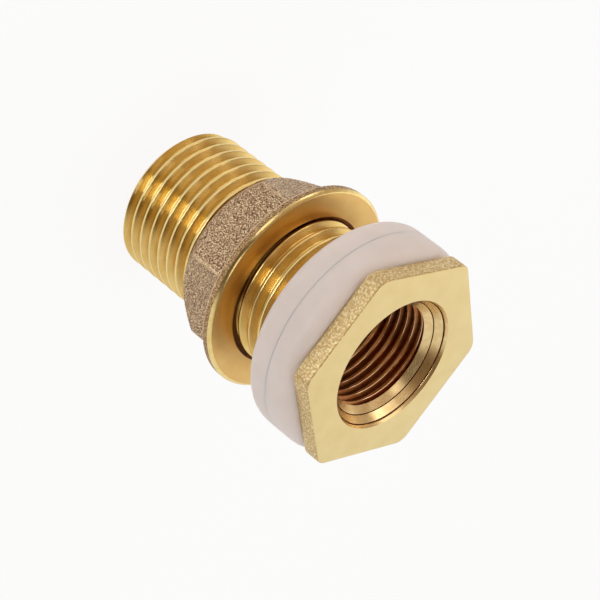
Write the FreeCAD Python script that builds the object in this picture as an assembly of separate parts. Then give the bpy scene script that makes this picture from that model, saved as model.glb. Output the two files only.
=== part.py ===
import FreeCAD, Part
import math
import os

# Tank connector standing on the end of its thread, head up. Sizes in millimetres.
# The axis is +Z, and z = 0 is the end face of the thread.
# Threads are plain cylinders: the male one at its crests, the female one at its minor diameter.

# Connector body: hexagon head on a hollow threaded shank
overall_length = 42.0
head_across_flats = 27.0
head_thickness = 2.5
head_flat_angle = 30.0
head_corner_radius = 2.0
head_edge_round = 0.25
male_crest_diameter = 20.7
male_end_chamfer = 0.85

# Mouth in the head, and the bore through the shank
mouth_diameter = 18.8
mouth_edge_step = 0.35
mouth_edge_depth = 0.45
mouth_sink_depth = 1.55
female_major_diameter = 16.66
female_minor_diameter = 14.95
female_thread_depth = 12.0
waterway_diameter = 14.0
waterway_end_chamfer = 0.4
drill_point_angle = 118.0

# Two equal sealing washers under the head, flat sides together; they just cover its corners
washer_overhang = 0.02
washer_thickness = 4.15
washer_edge_round = 2.2
washer_bore_clearance = 0.15
washer_seat_gap = 0.02

# Flanged nut, sized outwards from its bore; its face is measured down from the head's front face
nut_face_depth = 18.1
nut_length = 9.7
nut_thread_clearance = 0.05
nut_flat_wall = 0.85
nut_corner_radius = 1.8
nut_turn_angle = -11.5
nut_end_chamfer_angle = 48.0
nut_end_flat_inset = 0.25
flange_width = 4.35
flange_thickness = 1.5
flange_edge_chamfer = 0.5
flange_root_fillet = 0.4
nut_sink_width = 0.425

HEX_SIDES = 6
WASHER_EDGE_FACETS = 4
AXIS = FreeCAD.Vector(0, 0, 1)
ORIGIN = FreeCAD.Vector(0, 0, 0)


def turned(profile):
    """Solid of revolution about Z from a closed outline of (radius, z) points."""
    points = [FreeCAD.Vector(radius, 0, z) for radius, z in profile]
    wire = Part.makePolygon(points + points[:1])
    return Part.Face(wire).revolve(ORIGIN, AXIS, 360)


def corner_reach(across_flats):
    """Distance from the axis to a sharp corner of a hexagon."""
    return across_flats / 2 / math.cos(math.pi / HEX_SIDES)


def hexagon_bar(across_flats, corner_radius, bottom, height, first_flat_angle):
    """Upright hexagon prism with rounded corners; one flat faces first_flat_angle."""
    corner_distance = corner_reach(across_flats)
    corners = []
    for side in range(HEX_SIDES):
        angle = math.radians(first_flat_angle) + (side + 0.5) * 2 * math.pi / HEX_SIDES
        x = corner_distance * math.cos(angle)
        y = corner_distance * math.sin(angle)
        corners.append(FreeCAD.Vector(x, y, bottom))
    outline = Part.makePolygon(corners + corners[:1])
    bar = Part.Face(outline).extrude(AXIS * height)
    upright = [edge for edge in bar.Edges if edge.BoundBox.ZLength > height / 2]
    return bar.makeFillet(corner_radius, upright)


def level_edges(solid, z, tolerance=1e-4):
    """Edges of the solid that lie flat at height z."""
    flat = [edge for edge in solid.Edges if edge.BoundBox.ZLength < tolerance]
    return [edge for edge in flat if abs(edge.BoundBox.ZMin - z) < tolerance]


def connector_body():
    """Hexagon head and hollow shank, cast and turned as one piece."""
    head_back = overall_length - head_thickness
    head = hexagon_bar(head_across_flats, head_corner_radius, head_back, head_thickness, head_flat_angle)
    rims = level_edges(head, overall_length) + level_edges(head, head_back)
    head = head.makeFillet(head_edge_round, rims)

    crest = male_crest_diameter / 2
    # The shank reaches into the head so that the two join as one body
    shank_top = overall_length - head_thickness / 2
    shank = turned([(0, 0), (crest - male_end_chamfer, 0), (crest, male_end_chamfer),
                    (crest, shank_top), (0, shank_top)])
    return head.fuse(shank).removeSplitter().cut(bore_tool())


def bore_tool():
    """Mouth, female thread bore and waterway as one turned cutter."""
    mouth = mouth_diameter / 2
    major = female_major_diameter / 2
    minor = female_minor_diameter / 2
    waterway = waterway_diameter / 2
    sink_floor = overall_length - mouth_sink_depth
    thread_start = sink_floor - (major - minor)
    thread_end = overall_length - female_thread_depth
    drill_end = thread_end - (minor - waterway) / math.tan(math.radians(drill_point_angle / 2))
    return turned([
        (0, 0),
        (waterway + waterway_end_chamfer, 0),
        (waterway, waterway_end_chamfer),
        (waterway, drill_end),
        (minor, thread_end),
        (minor, thread_start),
        (major, sink_floor),
        (mouth - mouth_edge_step, overall_length - mouth_edge_depth),
        (mouth, overall_length),
        (0, overall_length),
    ])


def sealing_washer(flat_face, rounded_face):
    """Soft ring between two heights; the rim of its rounded face is broadly rounded, in facets."""
    rounded_corner_reach = corner_reach(head_across_flats - 2 * head_corner_radius) + head_corner_radius
    outside = rounded_corner_reach + washer_overhang
    bore = male_crest_diameter / 2 + washer_bore_clearance
    inwards = math.copysign(washer_edge_round, flat_face - rounded_face)
    rim = []
    for step in range(WASHER_EDGE_FACETS + 1):
        angle = math.pi / 2 * step / WASHER_EDGE_FACETS
        rim.append((outside - washer_edge_round * (1 - math.cos(angle)),
                    rounded_face + inwards * (1 - math.sin(angle))))
    return turned([(bore, flat_face), (outside, flat_face)] + rim + [(bore, rounded_face)])


def flanged_nut():
    """Cast hexagon with a round flange on the side of the washers, bored for the shank."""
    face = overall_length - nut_face_depth
    far_end = face - nut_length
    flange_back = face - flange_thickness
    bore = male_crest_diameter / 2 + nut_thread_clearance
    sink = bore + nut_sink_width
    half_flats = bore + nut_flat_wall
    rim = bore + flange_width

    # The hexagon's lower end is turned to a cone, which cuts its corners back
    hexagon = hexagon_bar(2 * half_flats, nut_corner_radius, far_end, nut_length - flange_thickness / 2,
                          head_flat_angle + nut_turn_angle)
    end_flat = half_flats - nut_end_flat_inset
    cone_rise = (rim - end_flat) * math.tan(math.radians(nut_end_chamfer_angle))
    envelope = turned([(0, far_end), (end_flat, far_end), (rim, far_end + cone_rise),
                       (rim, face), (0, face)])
    hexagon = hexagon.common(envelope)

    flange = turned([(0, flange_back), (rim, flange_back), (rim, face - flange_edge_chamfer),
                     (rim - flange_edge_chamfer, face), (0, face)])
    nut = hexagon.fuse(flange).removeSplitter()
    root = [edge for edge in level_edges(nut, flange_back) if edge.BoundBox.XLength < 2 * half_flats]
    nut = nut.makeFillet(flange_root_fillet, root)

    bore_cutter = turned([
        (0, far_end),
        (sink, far_end),
        (bore, far_end + nut_sink_width),
        (bore, face - nut_sink_width),
        (sink, face),
        (0, face),
    ])
    return nut.cut(bore_cutter)


washers_top = overall_length - head_thickness - washer_seat_gap
washers_seam = washers_top - washer_thickness
washers_bottom = washers_seam - washer_thickness
pieces = {
    "connector_body": connector_body(),
    "inner_washer": sealing_washer(washers_seam, washers_top),
    "outer_washer": sealing_washer(washers_seam, washers_bottom),
    "flanged_nut": flanged_nut(),
}

os.makedirs("parts", exist_ok=True)
for name, shape in pieces.items():
    solid = shape.Solids[0]
    solid.exportStep("parts/" + name + ".step")
    print(name, "solids", len(shape.Solids), "valid", solid.isValid(), "volume", round(solid.Volume, 1))
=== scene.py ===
import math

import bmesh
import bpy
from mathutils import Matrix, Vector


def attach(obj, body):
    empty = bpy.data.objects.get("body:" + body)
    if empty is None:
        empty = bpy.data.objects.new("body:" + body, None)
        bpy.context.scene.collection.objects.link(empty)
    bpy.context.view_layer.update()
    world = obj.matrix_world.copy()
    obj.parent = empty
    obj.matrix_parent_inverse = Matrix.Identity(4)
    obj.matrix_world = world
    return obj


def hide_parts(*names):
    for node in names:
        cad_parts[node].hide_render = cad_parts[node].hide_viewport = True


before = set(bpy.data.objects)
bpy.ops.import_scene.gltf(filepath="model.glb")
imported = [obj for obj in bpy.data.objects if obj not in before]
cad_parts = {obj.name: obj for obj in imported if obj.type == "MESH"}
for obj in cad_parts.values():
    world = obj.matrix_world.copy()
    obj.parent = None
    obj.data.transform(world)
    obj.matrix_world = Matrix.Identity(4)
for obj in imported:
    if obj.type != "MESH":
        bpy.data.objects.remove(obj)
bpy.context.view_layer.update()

# Sizes in millimetres, as on the part's drawing. z = 0 is the end face of the thread.
MM = 0.001
OVERALL_LENGTH = 42.0
HEAD_ACROSS_FLATS = 27.0
HEAD_BACK = 39.5
HEAD_CORNER_ROUND = 2.0
HEAD_EDGE_ROUND = 0.25
HEAD_FIRST_FLAT = 30.0

SHANK_CREST = 10.35
SHANK_ROOT = 9.315
SHANK_PITCH = 25.4 / 14
SHANK_FIRST_CREST = -0.156
SHANK_END_CHAMFER = 0.85
SHANK_CREST_ROUND = 0.18
SHANK_ROOT_ROUND = 0.24
SHANK_CREST_BAND = 0.012
SHANK_TOP_DEPTH = 1.2

SOCKET_MINOR = 7.475
SOCKET_MAJOR = 8.33
SOCKET_PITCH = 25.4 / 19
SOCKET_DEPTH = 12.0
SOCKET_TAP_CREST = 38.30
SOCKET_ROOT_ROUND = 0.12
SOCKET_CREST_ROUND = 0.17
SOCKET_CREST_BAND = 0.1
TAP_CORE_CLEARANCE = 0.02
DRILL_HALF_ANGLE = math.radians(59)
WATERWAY = 7.0
MOUTH = 9.4
SINK_DEPTH = 1.55
LIP_DEPTH = 0.45

WASHER_BORE = 10.5
WASHER_OUTSIDE = 15.28
WASHER_STACK_TOP = 39.48
WASHER_SEAM = 35.33
WASHER_STACK_BOTTOM = 31.18
WASHER_EDGE_ROUND = 2.2
WASHER_SEAM_ROUND = 0.01
WASHER_SEAM_GAP = 0.02
WASHER_BORE_ROUND = 0.25

NUT_FACE = 23.9
NUT_FAR_END = 14.2
NUT_ACROSS_FLATS = 22.5
NUT_CORNER_ROUND = 1.1
NUT_FIRST_FLAT = 18.5
NUT_BORE = 9.42
NUT_SINK = 10.825
NUT_SINK_DEPTH = 0.84
NUT_END_INSET = 0.25
NUT_END_CHAMFER = math.radians(48)
NUT_THREAD_ROOT_GAP = 0.13
NUT_THREAD_CREST_GAP = 0.06
NUT_THREAD_ROUND = 0.1
CASTING_GRID = 0.15
FLANGE_RIM = 14.75
FLANGE_THICKNESS = 1.5
FLANGE_EDGE = 0.38
RIM_SKIN = 0.1
RUBBED_HIGHLIGHT_CORNER_DEGREES = 0.7
RUBBED_HIGHLIGHT_CORNER_REACH = 0.6
RUBBED_HIGHLIGHT_CORNER_STOP = 0.2
RUBBED_HIGHLIGHT_RIM_WIDTH = 0.22
RUBBED_HIGHLIGHT_RIM_HEIGHT = 0.38

HEX_SIDES = 6
HEX_CORNER_STEPS = 6
ROUND_STEPS = 96
THREAD_STEPS = 96
CREST_STEPS = 3
ROOT_STEPS = 4
WASHER_CORNER_STEPS = 8
WHITWORTH_FLANK = math.radians(27.5)
METAL_SMOOTH_ANGLE = 35
SILICONE_SMOOTH_ANGLE = 40
MERGE_DISTANCE = 0.0005 * MM
LEVEL_TOLERANCE = 1e-7
FACING = 0.95

# Slots of the brass finishes, in the order of brass_finishes below
TURNED, BURNISHED, FACED, FLANGE_FACED, BORED, TAPPED_SHADE = range(6)
PAINTED_SHADE, CAST_HEAD, CAST_NUT, RUBBED_HIGHLIGHT, CREST, CAST_RIM = range(6, 12)


def linear(hex_colour):
    """sRGB hex to the linear colour that a socket takes."""
    channels = [int(hex_colour[i:i + 2], 16) / 255 for i in (1, 3, 5)]
    return [c / 12.92 if c <= 0.04045 else ((c + 0.055) / 1.055) ** 2.4 for c in channels] + [1.0]


def add_node(tree, kind, settings=None, **inputs):
    """Adds a node, sets its properties, and sets or links its inputs by name."""
    node = tree.nodes.new(kind)
    for key, value in (settings or {}).items():
        setattr(node, key, value)
    for key, value in inputs.items():
        socket = node.inputs[int(key[1:])] if key[1:].isdigit() else node.inputs[key.replace("_", " ")]
        if isinstance(value, bpy.types.NodeSocket):
            tree.links.new(value, socket)
        else:
            socket.default_value = value
    return node


def new_material(name):
    """An empty node material and its tree."""
    material = bpy.data.materials.new(name)
    material.use_nodes = True
    material.node_tree.nodes.clear()
    return material, material.node_tree


def ramp(tree, factor, stops):
    """A colour ramp with its stops as (place, colour)."""
    node = add_node(tree, "ShaderNodeValToRGB", Fac=factor)
    elements = node.color_ramp.elements
    while len(elements) < len(stops):
        elements.new(0.5)
    for element, (place, colour) in zip(elements, stops):
        element.position = place
        element.color = colour
    return node.outputs["Color"]


def turned_brass():
    """Free-cutting brass off the lathe: a deep gold mirror, drawn out across its fine tool rings."""
    material, tree = new_material("turned_brass")
    place = add_node(tree, "ShaderNodeTexCoord").outputs["Object"]
    stain = add_node(tree, "ShaderNodeTexNoise", None, Vector=place, Scale=1 / (3 * MM), Detail=3.0)
    colour = ramp(tree, stain.outputs["Fac"], [(0.35, linear("#D7B46A")), (0.65, linear("#E1C27C"))])
    smear = add_node(tree, "ShaderNodeTexNoise", None, Vector=place, Scale=1 / (0.5 * MM), Detail=2.0)
    rough = add_node(tree, "ShaderNodeMapRange", None, Value=smear.outputs["Fac"], To_Min=0.20, To_Max=0.28)
    shader = add_node(tree, "ShaderNodeBsdfPrincipled", None, Base_Color=colour, Metallic=1.0,
                      Roughness=rough.outputs["Result"], Anisotropic=0.95, Anisotropic_Rotation=0.25)
    add_node(tree, "ShaderNodeOutputMaterial", None, Surface=shader.outputs["BSDF"])
    return material


def worn_brass(name, dull, bright, roughness):
    """Machined brass without a clear tool grain, a little uneven in colour."""
    material, tree = new_material(name)
    place = add_node(tree, "ShaderNodeTexCoord").outputs["Object"]
    cloud = add_node(tree, "ShaderNodeTexNoise", None, Vector=place, Scale=1 / (0.8 * MM), Detail=3.0)
    colour = ramp(tree, cloud.outputs["Fac"], [(0.35, linear(dull)), (0.65, linear(bright))])
    shader = add_node(tree, "ShaderNodeBsdfPrincipled", None, Base_Color=colour, Metallic=1.0,
                      Roughness=roughness)
    add_node(tree, "ShaderNodeOutputMaterial", None, Surface=shader.outputs["BSDF"])
    return material


def faced_brass(name, dull, bright, roughness, ring_depth):
    """Brass faced flat on the lathe and a little tumbled: an even yellow with faint tool rings."""
    material, tree = new_material(name)
    place = add_node(tree, "ShaderNodeTexCoord").outputs["Object"]
    cloud = add_node(tree, "ShaderNodeTexNoise", None, Vector=place, Scale=1 / (2.5 * MM), Detail=4.0)
    colour = ramp(tree, cloud.outputs["Fac"], [(0.3, linear(dull)), (0.7, linear(bright))])
    # A wave of scale 1 repeats every 2 pi / 20; a tool feeds about 0.12 mm, drawn coarser so that it shows
    rings = add_node(tree, "ShaderNodeTexWave", {"wave_type": "RINGS", "rings_direction": "Z"}, Vector=place,
                     Scale=2 * math.pi / 20 / (0.35 * MM), Distortion=0.6, Detail=2.0)
    bump = add_node(tree, "ShaderNodeBump", None, Height=rings.outputs["Fac"], Distance=ring_depth * MM)
    shader = add_node(tree, "ShaderNodeBsdfPrincipled", None, Base_Color=colour, Metallic=1.0,
                      Roughness=roughness, Normal=bump.outputs["Normal"])
    add_node(tree, "ShaderNodeOutputMaterial", None, Surface=shader.outputs["BSDF"])
    return material


def blasted_brass(name, dark, middle, pale, grain, depth):
    """Sand-cast brass, shot-blasted: a dull skin of tiny pits, with bright and dark flecks."""
    material, tree = new_material(name)
    place = add_node(tree, "ShaderNodeTexCoord").outputs["Object"]
    pits = add_node(tree, "ShaderNodeTexNoise", None, Vector=place, Scale=1 / (grain * MM), Detail=2.0)
    colour = ramp(tree, pits.outputs["Fac"], [(0.36, linear(dark)), (0.5, linear(middle)),
                                              (0.64, linear(pale))])
    bump = add_node(tree, "ShaderNodeBump", None, Height=pits.outputs["Fac"], Distance=depth * MM,
                    Strength=0.8)
    shader = add_node(tree, "ShaderNodeBsdfPrincipled", None, Base_Color=colour, Metallic=0.75,
                      Roughness=0.5, Specular_IOR_Level=0.2, Normal=bump.outputs["Normal"])
    add_node(tree, "ShaderNodeOutputMaterial", None, Surface=shader.outputs["BSDF"])
    return material


def moulded_silicone():
    """Compression-moulded silicone: milky, slightly pink, soft where light gets into it."""
    material, tree = new_material("moulded_silicone")
    place = add_node(tree, "ShaderNodeTexCoord").outputs["Object"]
    cloud = add_node(tree, "ShaderNodeTexNoise", None, Vector=place, Scale=1 / (4 * MM), Detail=3.0)
    colour = ramp(tree, cloud.outputs["Fac"], [(0.3, linear("#E4DAD4")), (0.7, linear("#E9E0DB"))])
    shader = add_node(tree, "ShaderNodeBsdfPrincipled", None, Base_Color=colour, Roughness=0.45, IOR=1.41,
                      Subsurface_Weight=0.7, Subsurface_Radius=(1.0, 0.8, 0.7), Subsurface_Scale=0.8 * MM)
    add_node(tree, "ShaderNodeOutputMaterial", None, Surface=shader.outputs["BSDF"])
    return material


def white_floor():
    """Matt white paper, which shows itself as white to the camera and in the metal, and keeps a shadow."""
    material, tree = new_material("floor_paper")
    paper = add_node(tree, "ShaderNodeBsdfDiffuse", None, Color=linear("#FAFAFA"))
    white = add_node(tree, "ShaderNodeEmission", None, Color=linear("#FFFFFF"), Strength=1.0)
    path = add_node(tree, "ShaderNodeLightPath")
    seen = add_node(tree, "ShaderNodeMath", {"operation": "ADD", "use_clamp": True},
                    _0=path.outputs["Is Camera Ray"], _1=path.outputs["Is Glossy Ray"])
    seen = add_node(tree, "ShaderNodeMath", {"operation": "ADD", "use_clamp": True},
                    _0=seen.outputs[0], _1=path.outputs["Is Transmission Ray"])
    # A tenth is left to the paper's own shading, which holds the shadow
    share = add_node(tree, "ShaderNodeMath", {"operation": "MULTIPLY"}, _0=seen.outputs[0], _1=0.9)
    both = add_node(tree, "ShaderNodeMixShader", None, _0=share.outputs[0], _1=paper.outputs[0],
                    _2=white.outputs[0])
    add_node(tree, "ShaderNodeOutputMaterial", None, Surface=both.outputs[0])
    return material


brass_finishes = [
    turned_brass(),
    worn_brass("burnished_brass", "#E2C680", "#EAD292", 0.22),
    faced_brass("faced_brass_head", "#E2CC91", "#E7D39B", 0.45, 0.002),
    faced_brass("faced_brass_nut", "#D8AE66", "#DEB872", 0.36, 0.004),
    worn_brass("bored_brass", "#E0C088", "#EAD09A", 0.27),
    # Tapped brass painted a dark red-brown, as painted shade inside the bores
    worn_brass("tapped_brass_painted_shade", "#A96A3C", "#BC7C48", 0.28),
    # Dark brown brass that is painted shade, for the mouth's grooves and the nut's countersink and thread
    worn_brass("brass_painted_shade", "#6A3816", "#7E481E", 0.4),
    blasted_brass("blasted_brass_head", "#BE9F68", "#D0B480", "#E8D6A8", 0.28, 0.035),
    blasted_brass("blasted_brass_nut", "#5C4232", "#AA8866", "#F0DAB4", 0.17, 0.09),
    # Paler blasted brass: wear on the nut's corners, and a painted edge highlight on its corners and the back
    # of its rim
    blasted_brass("blasted_brass_rubbed_highlight", "#A88868", "#CDAE88", "#ECD9B6", 0.17, 0.04),
    worn_brass("tapped_brass_crest", "#E2C09A", "#EED0AC", 0.16),
    blasted_brass("blasted_brass_rim", "#64482E", "#9E7C54", "#DABA8C", 0.17, 0.07),
]


def name_piece(name):
    """Names the piece in hand and gives it the brass finishes, in one order for all of them."""
    piece = bpy.context.object
    piece.name = name
    piece.data.name = name
    for finish in brass_finishes:
        piece.data.materials.append(finish)
    return piece


def edit():
    """Goes into edit mode on the piece in hand."""
    bpy.ops.object.mode_set(mode="EDIT")


def leave():
    """Goes back to object mode."""
    bpy.ops.object.mode_set(mode="OBJECT")


def pick(kind, test):
    """In edit mode, selects the elements of one kind that pass a test, and no others."""
    bpy.ops.mesh.select_mode(type={"verts": "VERT", "edges": "EDGE", "faces": "FACE"}[kind])
    bpy.ops.mesh.select_all(action="DESELECT")
    mesh = bmesh.from_edit_mesh(bpy.context.object.data)
    for element in getattr(mesh, kind):
        if test(element):
            element.select_set(True)
    mesh.select_flush_mode()
    bmesh.update_edit_mesh(bpy.context.object.data)


def paint(finish, test):
    """Gives one finish to the faces that pass a test."""
    pick("faces", test)
    bpy.context.object.active_material_index = finish
    bpy.ops.object.material_slot_assign()


def middle(element):
    """Middle of an edge or face, in millimetres."""
    points = [vert.co for vert in element.verts]
    return sum(points, Vector()) / len(points) / MM


def draw_section(name, corners):
    """Draws a half section in the XZ plane, corner by corner, and leaves it open in edit mode."""
    bpy.ops.object.select_all(action="DESELECT")
    bpy.ops.mesh.primitive_plane_add(size=MM)
    piece = name_piece(name)
    edit()
    bpy.ops.mesh.select_mode(type="VERT")
    bpy.ops.mesh.select_all(action="SELECT")
    bpy.ops.mesh.merge(type="CENTER")
    points = [Vector((radius, 0, z)) * MM for radius, z in corners]
    bpy.ops.transform.translate(value=points[0])
    for here, there in zip(points, points[1:]):
        bpy.ops.mesh.extrude_vertices_move(TRANSFORM_OT_translate={"value": there - here})
    bpy.ops.mesh.select_all(action="SELECT")
    return piece


def tidy_mesh():
    """Merges doubles and turns all faces outwards."""
    bpy.ops.mesh.select_all(action="SELECT")
    bpy.ops.mesh.remove_doubles(threshold=MERGE_DISTANCE)
    bpy.ops.mesh.normals_make_consistent(inside=False)


def turn_on_lathe(name, corners, finish):
    """A solid of revolution from a half section that starts and ends on the axis, or closes on itself."""
    piece = draw_section(name, corners)
    bpy.ops.mesh.spin(steps=ROUND_STEPS, angle=2 * math.pi, center=(0, 0, 0), axis=(0, 0, 1))
    tidy_mesh()
    paint(finish, lambda face: True)
    leave()
    return piece


def apply_modifier(piece, kind, **settings):
    """Adds a modifier to a piece and applies it."""
    bpy.ops.object.select_all(action="DESELECT")
    piece.select_set(True)
    bpy.context.view_layer.objects.active = piece
    modifier = piece.modifiers.new(kind.title(), kind)
    for key, value in settings.items():
        setattr(modifier, key, value)
    bpy.ops.object.modifier_apply(modifier=modifier.name)


def join_solids(piece, tool, operation):
    """Boolean of a piece with a tool, which is used up."""
    apply_modifier(piece, "BOOLEAN", object=tool, operation=operation, solver="EXACT")
    bpy.data.objects.remove(tool)


def whitworth_section(crest, root, pitch, crest_round, root_round):
    """One pitch of thread from root to root, as (radius, height) with its crest at height 0."""
    middle_radius = (crest + root) / 2
    slope = math.tan(WHITWORTH_FLANK)
    side = math.pi / 2 - WHITWORTH_FLANK

    def half_width(radius):
        return pitch / 4 - (radius - middle_radius) * slope

    # Where a rounding of a given radius meets the flank and the level crest or root
    crest_flat = half_width(crest) - crest_round * math.tan(side / 2)
    root_flat = pitch / 2 - half_width(root) - root_round * math.tan(side / 2)
    upper = []
    for step in range(CREST_STEPS + 1):
        angle = side * step / CREST_STEPS
        upper.append((crest - crest_round * (1 - math.cos(angle)),
                      crest_flat + crest_round * math.sin(angle)))
    for step in range(ROOT_STEPS + 1):
        angle = side * (1 - step / ROOT_STEPS)
        upper.append((root + root_round * (1 - math.cos(angle)),
                      pitch / 2 - root_flat - root_round * math.sin(angle)))
    upper.append((root, pitch / 2))
    lower = [(radius, -height) for radius, height in reversed(upper)]
    return lower + upper


def threaded_rod(name, section, pitch, first_crest, bottom, top, finish):
    """A long screw from one pitch of section, closed at both ends, with a crest at first_crest on +X."""
    turns_down = math.ceil((first_crest - bottom) / pitch) + 1
    turns = math.ceil((top - bottom) / pitch) + 2
    start = first_crest - turns_down * pitch
    rod = draw_section(name, [(radius, start + height) for radius, height in section])
    leave()
    apply_modifier(rod, "SCREW", angle=2 * math.pi, screw_offset=pitch * MM, iterations=turns,
                   steps=THREAD_STEPS, render_steps=THREAD_STEPS)
    edit()
    bpy.ops.mesh.select_all(action="SELECT")
    bpy.ops.mesh.remove_doubles(threshold=MERGE_DISTANCE)
    half_way = (start + turns * pitch / 2) * MM
    for below in (True, False):
        pick("edges", lambda edge: edge.is_boundary and (edge.verts[0].co.z < half_way) == below)
        bpy.ops.mesh.extrude_edges_indiv()
        bpy.ops.mesh.merge(type="CENTER")
    tidy_mesh()
    paint(finish, lambda face: True)
    leave()
    return rod


def burnish(piece, inside, outside, finish):
    """Gives a brighter finish to the faces of a thread that lie between two radii."""
    bpy.context.view_layer.objects.active = piece
    edit()
    paint(finish, lambda face: all(inside * MM < v.co.xy.length < outside * MM for v in face.verts))
    leave()


def hexagon_bar(name, across_flats, corner_round, bottom, top, first_flat, finish):
    """A six-sided bar with rounded corners, one flat facing first_flat degrees from +X."""
    bpy.ops.object.select_all(action="DESELECT")
    bpy.ops.mesh.primitive_cylinder_add(
        vertices=HEX_SIDES, radius=across_flats / 2 / math.cos(math.pi / HEX_SIDES) * MM,
        depth=(top - bottom) * MM,
        location=(0, 0, (top + bottom) / 2 * MM), rotation=(0, 0, math.radians(first_flat)))
    bpy.ops.object.transform_apply(location=True, rotation=True, scale=True)
    bar = name_piece(name)
    edit()
    pick("edges", lambda edge: abs(edge.verts[0].co.z - edge.verts[1].co.z) > MM)
    # The bevel's width is measured along the flats from the sharp corner
    bpy.ops.mesh.bevel(offset=corner_round * math.tan(math.pi / HEX_SIDES) * MM, segments=HEX_CORNER_STEPS,
                       affect="EDGES")
    paint(finish, lambda face: True)
    leave()
    return bar


def smooth_by_angle(piece, degrees):
    """Shades a piece smooth, apart from edges sharper than an angle."""
    bpy.ops.object.select_all(action="DESELECT")
    piece.select_set(True)
    bpy.context.view_layer.objects.active = piece
    bpy.ops.object.shade_smooth_by_angle(angle=math.radians(degrees))


def make_connector():
    """Hexagon head and hollow threaded shank, cast in one and turned inside and out."""
    head = hexagon_bar("connector_turning", HEAD_ACROSS_FLATS, HEAD_CORNER_ROUND, HEAD_BACK, OVERALL_LENGTH,
                       HEAD_FIRST_FLAT, CAST_HEAD)
    edit()
    pick("edges", lambda edge: abs(edge.verts[0].co.z - edge.verts[1].co.z) < LEVEL_TOLERANCE)
    bpy.ops.mesh.bevel(offset=HEAD_EDGE_ROUND * MM, segments=3, affect="EDGES")
    paint(FACED, lambda face: face.normal.z > FACING)
    paint(TURNED, lambda face: face.normal.z < -FACING)
    leave()

    section = whitworth_section(SHANK_CREST, SHANK_ROOT, SHANK_PITCH, SHANK_CREST_ROUND, SHANK_ROOT_ROUND)
    shank = threaded_rod("shank", section, SHANK_PITCH, SHANK_FIRST_CREST, -1, OVERALL_LENGTH, TURNED)
    burnish(shank, SHANK_CREST - SHANK_CREST_BAND, 2 * SHANK_CREST, BURNISHED)
    # The blank cuts the screw to length, with the end's chamfer, and ends inside the head
    end = SHANK_CREST - SHANK_END_CHAMFER
    inside_head = OVERALL_LENGTH - SHANK_TOP_DEPTH
    blank = turn_on_lathe("blank", [
        (0, 0), (end - 0.1, 0), (end, 0.03), (SHANK_CREST + 0.4, SHANK_END_CHAMFER + 0.43),
        (SHANK_CREST + 0.4, inside_head), (0, inside_head)], TURNED)
    join_solids(shank, blank, "INTERSECT")
    join_solids(head, shank, "UNION")

    sink_floor = OVERALL_LENGTH - SINK_DEPTH
    lip = OVERALL_LENGTH - LIP_DEPTH
    thread_start = sink_floor - (SOCKET_MAJOR - SOCKET_MINOR)
    thread_end = OVERALL_LENGTH - SOCKET_DEPTH
    drill_end = thread_end - (SOCKET_MINOR - WATERWAY) / math.tan(DRILL_HALF_ANGLE)
    # The bore's section also cuts a fine groove at the foot of the countersink and one under its lip; both
    # are painted dark brown as painted shade
    floor_groove = sink_floor - 0.045
    lip_groove = lip - 0.09
    bore = turn_on_lathe("bore", [
        (0, -1), (WATERWAY + 1.4, -1), (WATERWAY, 0.4), (WATERWAY, drill_end), (SOCKET_MINOR, thread_end),
        (SOCKET_MINOR, thread_start), (SOCKET_MAJOR - 0.04, sink_floor - 0.04),
        (SOCKET_MAJOR + 0.06, sink_floor - 0.10), (SOCKET_MAJOR + 0.06, sink_floor + 0.06),
        (MOUTH - 0.35, lip - 0.10), (MOUTH - 0.24, lip - 0.15), (MOUTH - 0.24, lip + 0.04),
        (MOUTH - 0.15, lip + 0.18), (MOUTH - 0.06, lip + 0.34), (MOUTH, lip + 0.45),
        (MOUTH + 0.3, lip + 1.45), (0, lip + 1.45)], TURNED)
    edit()
    paint(BORED, lambda face: middle(face).z > thread_start)
    paint(CREST, lambda face: thread_end < middle(face).z < thread_start)
    # The two grooves are painted dark brown: painted shade
    paint(PAINTED_SHADE, lambda face: abs(middle(face).z - lip_groove) < 0.055)
    paint(PAINTED_SHADE, lambda face: abs(middle(face).z - floor_groove) < 0.05)
    leave()
    join_solids(head, bore, "DIFFERENCE")

    # The tap's crests cut the thread's roots; its core is a little wider than the bore, so no skin is left
    tap_section = whitworth_section(SOCKET_MAJOR, SOCKET_MINOR + TAP_CORE_CLEARANCE, SOCKET_PITCH,
                                    SOCKET_ROOT_ROUND, SOCKET_CREST_ROUND)
    # The tapped thread is painted dark red-brown as painted shade in the bore; its crests are left paler
    tap = threaded_rod("tap", tap_section, SOCKET_PITCH, SOCKET_TAP_CREST, thread_end, OVERALL_LENGTH, TAPPED_SHADE)
    burnish(tap, 0, SOCKET_MINOR + SOCKET_CREST_BAND, CREST)
    tap_blank = turn_on_lathe("tap_blank", [
        (0, thread_end + 0.4), (SOCKET_MINOR - 0.2, thread_end + 0.4),
        (SOCKET_MAJOR + 0.3, thread_end + 1.6), (SOCKET_MAJOR + 0.3, thread_start - 0.03),
        (0, thread_start - 0.03)], TAPPED_SHADE)
    join_solids(tap, tap_blank, "INTERSECT")
    join_solids(head, tap, "DIFFERENCE")
    # That cut leaves a pinhole of three edges near the thread's inner end
    edit()
    bpy.ops.mesh.select_all(action="SELECT")
    bpy.ops.mesh.fill_holes(sides=4)
    leave()
    smooth_by_angle(head, METAL_SMOOTH_ANGLE)
    return head


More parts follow.
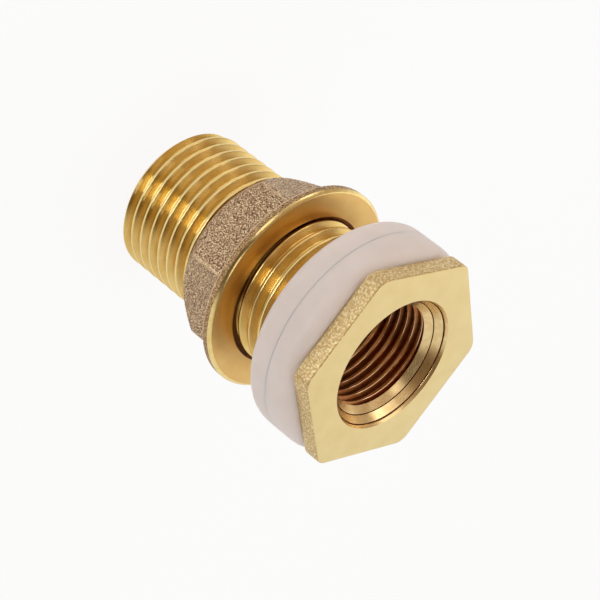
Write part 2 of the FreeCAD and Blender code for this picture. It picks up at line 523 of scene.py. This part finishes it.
def rubbed_highlight_edge(place, flange_back):
    """Whether a place on the nut's casting is painted paler: the corners, worn by knocks and painted as an
    edge highlight, and the back of the rim, a painted edge highlight.
    """
    radius = place.xy.length
    corner_angle = (math.degrees(math.atan2(place.y, place.x)) - NUT_FIRST_FLAT) % 60 - 30
    far_out = radius > NUT_ACROSS_FLATS / 2 + RUBBED_HIGHLIGHT_CORNER_REACH
    on_corner = far_out and abs(corner_angle) < RUBBED_HIGHLIGHT_CORNER_DEGREES
    on_rim = radius > FLANGE_RIM - RUBBED_HIGHLIGHT_RIM_WIDTH and place.z < flange_back + RUBBED_HIGHLIGHT_RIM_HEIGHT
    return on_rim or (on_corner and place.z < flange_back - RUBBED_HIGHLIGHT_CORNER_STOP)


def make_nut():
    """Cast hexagon with a round flange; the flange face, the chamfers and the thread are machined."""
    flange_back = NUT_FACE - FLANGE_THICKNESS
    nut = hexagon_bar("nut_casting", NUT_ACROSS_FLATS, NUT_CORNER_ROUND, NUT_FAR_END - 1, NUT_FACE - 0.2,
                      NUT_FIRST_FLAT, CAST_NUT)
    end_flat = NUT_ACROSS_FLATS / 2 - NUT_END_INSET
    rise = math.tan(NUT_END_CHAMFER)
    spread = 6
    cone = turn_on_lathe("cone", [(0, NUT_FAR_END), (end_flat, NUT_FAR_END),
                                  (end_flat + spread, NUT_FAR_END + spread * rise),
                                  (end_flat + spread, NUT_FACE + 2), (0, NUT_FACE + 2)], CAST_NUT)
    join_solids(nut, cone, "INTERSECT")
    flange = turn_on_lathe("flange", [(0, flange_back), (FLANGE_RIM - 0.3, flange_back),
                                      (FLANGE_RIM - 0.08, flange_back + 0.1),
                                      (FLANGE_RIM, flange_back + 0.35), (FLANGE_RIM, NUT_FACE),
                                      (0, NUT_FACE)], CAST_NUT)
    join_solids(nut, flange, "UNION")
    # An even grid, smoothed, rounds every edge as a sand mould does
    apply_modifier(nut, "REMESH", mode="VOXEL", voxel_size=CASTING_GRID * MM)
    apply_modifier(nut, "SMOOTH", factor=0.5, iterations=2)
    edit()
    paint(CAST_NUT, lambda face: True)
    paint(CAST_RIM, lambda face: middle(face).xy.length > FLANGE_RIM - RIM_SKIN)
    # The corners and the back of the rim are painted paler, as wear and a painted edge highlight
    paint(RUBBED_HIGHLIGHT, lambda face: rubbed_highlight_edge(middle(face), flange_back))
    leave()

    turned_outside = turn_on_lathe("turned_outside", [
        (0, NUT_FAR_END - 2), (FLANGE_RIM + 1, NUT_FAR_END - 2), (FLANGE_RIM + 1, NUT_FACE - 1.5),
        (FLANGE_RIM - FLANGE_EDGE + 0.06, NUT_FACE - 0.07),
        (FLANGE_RIM - FLANGE_EDGE - 0.06, NUT_FACE - 0.02), (0, NUT_FACE - 0.02)], TURNED)
    edit()
    paint(FLANGE_FACED, lambda face: face.normal.z > FACING)
    paint(BURNISHED, lambda face: 0.2 < face.normal.z < FACING)
    leave()
    join_solids(nut, turned_outside, "INTERSECT")
    # The nut's bore is painted dark red-brown as painted shade
    bore = turn_on_lathe("nut_bore", [
        (0, NUT_FAR_END - 1), (NUT_SINK + 1, NUT_FAR_END - 1),
        (NUT_BORE, NUT_FAR_END + NUT_SINK - NUT_BORE), (NUT_BORE, NUT_FACE - NUT_SINK_DEPTH),
        (NUT_SINK - 0.04, NUT_FACE - 0.05), (NUT_SINK + 0.04, NUT_FACE - 0.02),
        (NUT_SINK + 0.04, NUT_FACE + 1), (0, NUT_FACE + 1)], TAPPED_SHADE)
    edit()
    # The countersink is painted dark brown: painted shade
    paint(PAINTED_SHADE, lambda face: middle(face).z > NUT_FACE - NUT_SINK_DEPTH)
    leave()
    join_solids(nut, bore, "DIFFERENCE")
    # The nut's thread is cut by the shank's own screw, a little larger, so the two stay in step; its faces
    # are painted dark brown as painted shade
    section = whitworth_section(SHANK_CREST + NUT_THREAD_ROOT_GAP, SHANK_ROOT + NUT_THREAD_CREST_GAP,
                                SHANK_PITCH, NUT_THREAD_ROUND, NUT_THREAD_ROUND)
    tap = threaded_rod("nut_tap", section, SHANK_PITCH, SHANK_FIRST_CREST, NUT_FAR_END - 4, NUT_FACE + 4,
                       PAINTED_SHADE)
    join_solids(nut, tap, "DIFFERENCE")
    smooth_by_angle(nut, METAL_SMOOTH_ANGLE)
    return nut


def make_washer(name, flat_face, rounded_face, silicone):
    """Soft ring between two heights, broadly rounded at the rim of one face and eased everywhere else."""
    up = math.copysign(1, rounded_face - flat_face)
    corners = []
    for radius, height, rounding, first in (
            (WASHER_BORE, flat_face, WASHER_BORE_ROUND, 180),
            (WASHER_OUTSIDE, flat_face, WASHER_SEAM_ROUND, 270),
            (WASHER_OUTSIDE, rounded_face, WASHER_EDGE_ROUND, 0),
            (WASHER_BORE, rounded_face, WASHER_BORE_ROUND, 90)):
        inwards = 1 if radius == WASHER_BORE else -1
        onwards = 1 if height == flat_face else -1
        for step in range(WASHER_CORNER_STEPS + 1):
            angle = math.radians(first + 90 * step / WASHER_CORNER_STEPS)
            corners.append((radius + rounding * (inwards + math.cos(angle)),
                            height + up * rounding * (onwards + math.sin(angle))))
    washer = turn_on_lathe(name, corners + corners[:1], TURNED)
    washer.data.materials.clear()
    washer.data.materials.append(silicone)
    smooth_by_angle(washer, SILICONE_SMOOTH_ANGLE)
    return washer


connector = make_connector()
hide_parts("connector_body")
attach(connector, "connector")

nut = make_nut()
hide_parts("flanged_nut")
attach(nut, "nut")

silicone = moulded_silicone()
inner_ring = make_washer("inner_ring", WASHER_SEAM + WASHER_SEAM_GAP / 2, WASHER_STACK_TOP, silicone)
outer_ring = make_washer("outer_ring", WASHER_SEAM - WASHER_SEAM_GAP / 2, WASHER_STACK_BOTTOM, silicone)
for ring, node in ((inner_ring, "inner_washer"), (outer_ring, "outer_washer")):
    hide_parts(node)
    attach(ring, "washers")

# Floor
bpy.ops.object.select_all(action="DESELECT")
bpy.ops.mesh.primitive_plane_add(size=4.0, location=(0, 0, 0))
floor = bpy.context.object
floor.name = "floor"
floor.data.materials.append(white_floor())


def soft_box(name, azimuth, elevation, distance, width, height, radiance, colour=(1, 1, 1)):
    """A soft panel lamp that faces the middle of the part; radiance 1 looks white."""
    around = math.radians(azimuth)
    above = math.radians(elevation)
    aim = Vector((0, 0, OVERALL_LENGTH / 2 * MM))
    away = Vector((math.cos(around) * math.cos(above), math.sin(around) * math.cos(above), math.sin(above)))
    bpy.ops.object.light_add(type="AREA", location=aim + away * distance)
    lamp = bpy.context.object
    lamp.name = name
    lamp.data.color = colour
    lamp.data.shape = "RECTANGLE"
    lamp.data.size = width
    lamp.data.size_y = height
    lamp.data.energy = radiance * math.pi * width * height
    lamp.rotation_euler = away.to_track_quat("Z", "Y").to_euler()


LIT_LEVEL = 0.8
DARK_CLOTH = (1.4, 0.85, 0.45)


def cloth_colour(level):
    """Light from the tent's cloth: white where it is lit, a warm brown where it hangs in the dark."""
    lit = min(1.0, level / LIT_LEVEL)
    return [level * (warm + (1 - warm) * lit) for warm in DARK_CLOTH] + [1.0]


def studio_tent(walls, upper):
    """A world of cloth, brighter and dimmer round the part: walls, and upper cloth above them."""
    world = bpy.data.worlds.new("studio_tent")
    world.use_nodes = True
    tree = world.node_tree
    tree.nodes.clear()
    toward = add_node(tree, "ShaderNodeTexCoord").outputs["Generated"]
    axes = add_node(tree, "ShaderNodeSeparateXYZ", None, Vector=toward)
    around = add_node(tree, "ShaderNodeMath", {"operation": "ARCTAN2"},
                      _0=axes.outputs["Y"], _1=axes.outputs["X"])
    share = add_node(tree, "ShaderNodeMapRange", None, Value=around.outputs[0],
                     From_Min=-math.pi, From_Max=math.pi)
    bands = []
    for levels in (walls, upper):
        bands.append(ramp(tree, share.outputs["Result"],
                          [((azimuth + 180) / 360, cloth_colour(level)) for azimuth, level in levels]))
    # The walls give way to the upper cloth between about 50 and 62 degrees of elevation
    climb = add_node(tree, "ShaderNodeMapRange", None, Value=axes.outputs["Z"],
                     From_Min=0.77, From_Max=0.88)
    cloth = add_node(tree, "ShaderNodeMix", {"data_type": "RGBA"}, _0=climb.outputs["Result"])
    tree.links.new(bands[0], cloth.inputs["A"])
    tree.links.new(bands[1], cloth.inputs["B"])
    room = add_node(tree, "ShaderNodeBackground", None, Color=cloth.outputs["Result"], Strength=1.0)
    add_node(tree, "ShaderNodeOutputWorld", None, Surface=room.outputs[0])
    bpy.context.scene.world = world


# How bright the cloth is round the part, as (azimuth in degrees, level)
WALL_LEVELS = [(-180, 0.12), (-158, 0.15), (-150, 0.3), (-141, 0.95), (-110, 0.9), (-80, 1.0), (-40, 1.02),
               (-20, 1.06), (0, 1.45), (14, 1.1), (22, 0.62), (35, 0.43), (62, 0.45), (90, 0.5), (125, 0.45),
               (140, 0.2), (180, 0.12)]
UPPER_LEVELS = [(-180, 0.03), (-60, 0.03), (-20, 0.25), (10, 0.4), (60, 0.4), (100, 0.2), (130, 0.05),
                (180, 0.03)]
studio_tent(WALL_LEVELS, UPPER_LEVELS)
soft_box("top_panel", 256, 84, 0.5, 0.36, 0.12, 3.2)
soft_box("right_panel", 82, 27, 0.5, 0.30, 0.20, 1.1)
soft_box("side_panel", 60, 29, 0.5, 0.11, 0.16, 1.8)
soft_box("rear_panel", 112, 54, 0.5, 0.16, 0.12, 1.6)
soft_box("front_strip", 160, 3, 0.6, 0.28, 0.095, 10.0, (0.98, 1.02, 1.07))

# Camera, from a fit of the photograph's edges
CAMERA_SENSOR = 36.0
CAMERA_LENS = 144.70
CAMERA_PLACE = Vector((-217.42, 139.78, 193.97)) * MM
CAMERA_RIGHT = Vector((0.69707, 0.28688, 0.65711))
CAMERA_UP = Vector((0.14208, 0.84302, -0.51878))
CAMERA_BACK = Vector((-0.70278, 0.45499, 0.54688))
bpy.ops.object.camera_add()
camera = bpy.context.object
camera.name = "camera"
camera.data.sensor_width = CAMERA_SENSOR
camera.data.lens = CAMERA_LENS
camera.data.clip_start = 0.01
turn = Matrix((CAMERA_RIGHT, CAMERA_UP, CAMERA_BACK)).transposed()
camera.matrix_world = Matrix.Translation(CAMERA_PLACE) @ turn.to_4x4()
bpy.context.scene.camera = camera

bpy.context.scene.view_settings.view_transform = "Standard"
